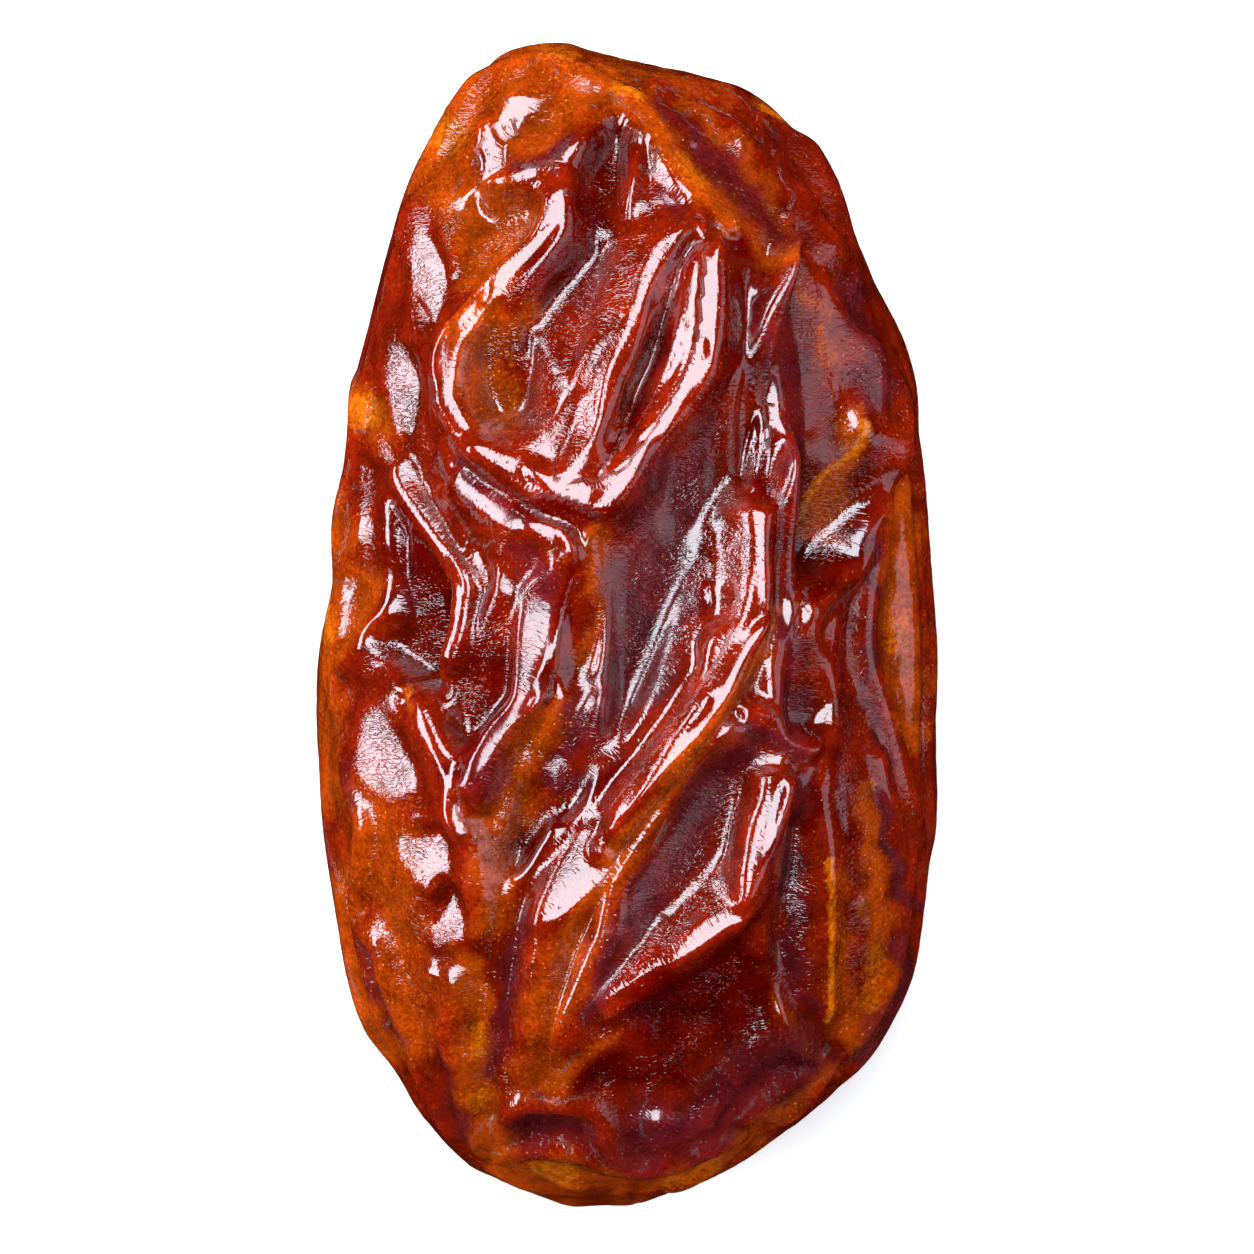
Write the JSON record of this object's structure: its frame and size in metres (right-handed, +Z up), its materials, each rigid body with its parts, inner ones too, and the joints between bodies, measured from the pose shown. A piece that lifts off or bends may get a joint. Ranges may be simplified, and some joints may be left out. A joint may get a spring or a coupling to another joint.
{
  "type": "date fruit",
  "caption": "Ripe dried date fruit: an oblong, glossy, translucent body with deep wrinkled folds, lying on its side on a small flat spot.",
  "frame": {"origin": "middle of the bounding box at its bottom, on the surface that the fruit lies on", "axes": "+Z up, +Y along the fruit towards the upper end of the picture, +X to the picture's right"},
  "size_m": [0.0248, 0.0466, 0.021],
  "materials": {
    "date_skin": "glossy, translucent, finely wrinkled dried skin, from amber to dark plum"
  },
  "bodies": {
    "root": {"date_fruit": "date_skin"}
  },
  "joints": []
}
